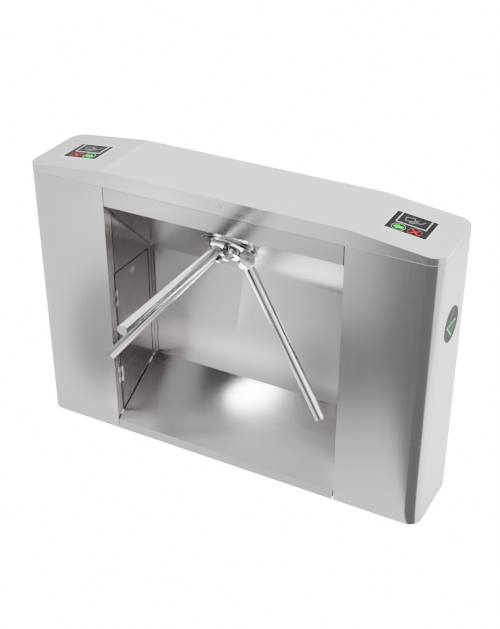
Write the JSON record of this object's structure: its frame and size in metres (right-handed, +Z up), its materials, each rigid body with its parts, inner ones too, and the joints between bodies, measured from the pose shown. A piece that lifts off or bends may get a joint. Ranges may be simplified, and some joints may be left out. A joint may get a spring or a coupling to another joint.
{
  "type": "visitor counter turnstile",
  "caption": "Bridge-type tripod turnstile in stainless steel with drop arms on a sloping hub, reader windows on a hinged lid and direction lights in its ends.",
  "frame": {"origin": "centre of the cabinet's footprint on the floor", "axes": "+X along the cabinet to the right as seen from the walkway, +Y to its back, +Z up"},
  "size_m": [1.4, 0.8091, 0.98],
  "materials": {
    "stainless_sheet": "brushed",
    "lid_steel": "satin",
    "alcove_steel": "brushed",
    "arm_chrome": "polished",
    "hub_steel": "satin",
    "window_black": "gloss",
    "lens_grey": "gloss",
    "reader_plastic": "matte",
    "frame_paint": "matte",
    "lock_chrome": "polished",
    "mechanism_zinc": "zinc plated",
    "cast_alloy": "as cast",
    "bearing_steel": "ground",
    "gear_brass": "machined",
    "gear_acetal": "satin",
    "solenoid_black": "satin",
    "spring_steel": "oiled",
    "board_green": "matte",
    "supply_aluminium": "satin",
    "cable_rubber": "matte"
  },
  "bodies": {
    "cabinet": {"base_frame": "frame_paint", "left_shell": "stainless_sheet", "right_shell": "stainless_sheet", "front_soffit": "alcove_steel", "back_panel": "alcove_steel", "sloped_floor": "alcove_steel", "rear_panel": "stainless_sheet", "left_inner_wall": "alcove_steel", "right_inner_wall": "alcove_steel", "hinge_knuckles": "alcove_steel", "hub_escutcheon": "hub_steel", "mechanism_screws": "lock_chrome", "mechanism_plate": "mechanism_zinc", "bearing_housing": "cast_alloy", "bearing_outer_races": "bearing_steel", "mechanism_posts": "mechanism_zinc", "mechanism_back_plate": "mechanism_zinc", "solenoid_bodies": "solenoid_black", "damper_body": "reader_plastic", "position_sensors": "reader_plastic", "control_board": "board_green", "power_supply": "supply_aluminium", "power_cable": "cable_rubber", "direction_lenses": "lens_grey", "light_boards": "board_green", "centring_spring": "spring_steel"},
    "lid": {"lid": "lid_steel", "reader_windows": "window_black", "card_readers": "reader_plastic", "lid_lock_body": "lock_chrome"},
    "lid_lock": {"lid_lock_core": "lock_chrome"},
    "left_door": {"left_door": "alcove_steel", "left_door_lock_body": "lock_chrome"},
    "left_door_lock": {"left_door_lock_core": "lock_chrome"},
    "right_door": {"right_door": "alcove_steel", "right_door_lock_body": "lock_chrome"},
    "right_door_lock": {"right_door_lock_core": "lock_chrome"},
    "rotor": {"hub": "hub_steel", "hub_nose": "hub_steel", "arm_pins": "hub_steel", "main_shaft": "bearing_steel", "bearing_inner_races": "bearing_steel", "ratchet_wheel": "mechanism_zinc", "centring_cam": "mechanism_zinc", "damper_gear": "gear_brass", "encoder_disc": "mechanism_zinc"},
    "arm_1": {"arm_1": "arm_chrome", "arm_1_cap": "hub_steel"},
    "arm_2": {"arm_2": "arm_chrome", "arm_2_cap": "hub_steel"},
    "arm_3": {"arm_3": "arm_chrome", "arm_3_cap": "hub_steel"},
    "damper_pinion": {"damper_pinion": "gear_acetal"},
    "left_pawl": {"left_pawl": "mechanism_zinc"},
    "right_pawl": {"right_pawl": "mechanism_zinc"},
    "left_plunger": {"left_plunger": "bearing_steel"},
    "right_plunger": {"right_plunger": "bearing_steel"},
    "centring_lever": {"centring_lever": "mechanism_zinc"},
    "centring_roller": {"centring_roller": "gear_acetal"}
  },
  "joints": [
    {"name": "rotor_spin", "type": "hinge", "parent": "cabinet", "child": "rotor", "pos_m": [0, -0.03712, 0.81556], "axis": [0, -0.7071, -0.7071], "continuous": true},
    {"name": "arm_1_drop", "type": "hinge", "parent": "rotor", "child": "arm_1", "pos_m": [0, -0.12512, 0.81556], "axis": [1, 0, 0], "range_deg": [0, 90]},
    {"name": "arm_2_drop", "type": "hinge", "parent": "rotor", "child": "arm_2", "pos_m": [-0.05389, -0.05912, 0.74956], "axis": [-0.5, -0.6124, 0.6124], "range_deg": [0, 45]},
    {"name": "arm_3_drop", "type": "hinge", "parent": "rotor", "child": "arm_3", "pos_m": [0.05389, -0.05912, 0.74956], "axis": [-0.5, 0.6124, -0.6124], "range_deg": [0, 45]},
    {"name": "lid_hinge", "type": "hinge", "parent": "cabinet", "child": "lid", "pos_m": [0, 0.1435, 0.928], "axis": [-1, 0, 0], "range_deg": [0, 75]},
    {"name": "lid_lock_turn", "type": "hinge", "parent": "lid", "child": "lid_lock", "pos_m": [0, -0.14, 0.9545], "axis": [0, 1, 0], "range_deg": [0, 90]},
    {"name": "left_door_swing", "type": "hinge", "parent": "cabinet", "child": "left_door", "pos_m": [-0.4085, -0.101, 0.4], "axis": [0, 0, -1], "range_deg": [0, 80]},
    {"name": "right_door_swing", "type": "hinge", "parent": "cabinet", "child": "right_door", "pos_m": [0.4085, -0.101, 0.4], "axis": [0, 0, 1], "range_deg": [0, 80]},
    {"name": "left_door_lock_turn", "type": "hinge", "parent": "left_door", "child": "left_door_lock", "pos_m": [-0.412, -0.0015, 0.569], "axis": [1, 0, 0], "range_deg": [0, 90]},
    {"name": "right_door_lock_turn", "type": "hinge", "parent": "right_door", "child": "right_door_lock", "pos_m": [0.412, -0.0015, 0.569], "axis": [1, 0, 0], "range_deg": [0, 90]},
    {"name": "damper_pinion_spin", "type": "hinge", "parent": "cabinet", "child": "damper_pinion", "pos_m": [0, -0.03358, 0.90395], "axis": [0, -0.7071, -0.7071], "continuous": true},
    {"name": "right_pawl_swing", "type": "hinge", "parent": "cabinet", "child": "right_pawl", "pos_m": [0.068, 0.0145, 0.81768], "axis": [0, -0.7071, -0.7071], "range_deg": [0, 8]},
    {"name": "left_pawl_swing", "type": "hinge", "parent": "cabinet", "child": "left_pawl", "pos_m": [-0.068, 0.0145, 0.81768], "axis": [0, 0.7071, 0.7071], "range_deg": [0, 8]},
    {"name": "right_plunger_slide", "type": "slide", "parent": "cabinet", "child": "right_plunger", "axis": [1, 0, 0], "range_m": [0, 0.0056]},
    {"name": "left_plunger_slide", "type": "slide", "parent": "cabinet", "child": "left_plunger", "axis": [-1, 0, 0], "range_m": [0, 0.0056]},
    {"name": "centring_lever_swing", "type": "hinge", "parent": "cabinet", "child": "centring_lever", "pos_m": [-0.052, 0.04844, 0.80496], "axis": [0, -0.7071, -0.7071], "range_deg": [-8, 0]},
    {"name": "centring_roller_spin", "type": "hinge", "parent": "centring_lever", "child": "centring_roller", "pos_m": [0, 0.04173, 0.81167], "axis": [0, -0.7071, -0.7071], "continuous": true}
  ],
  "couplings": [
    {"joint": "damper_pinion_spin", "follows": "rotor_spin", "ratio": -3},
    {"joint": "right_plunger_slide", "follows": "right_pawl_swing", "m_per_rad": 0.04},
    {"joint": "left_plunger_slide", "follows": "left_pawl_swing", "m_per_rad": 0.04}
  ]
}
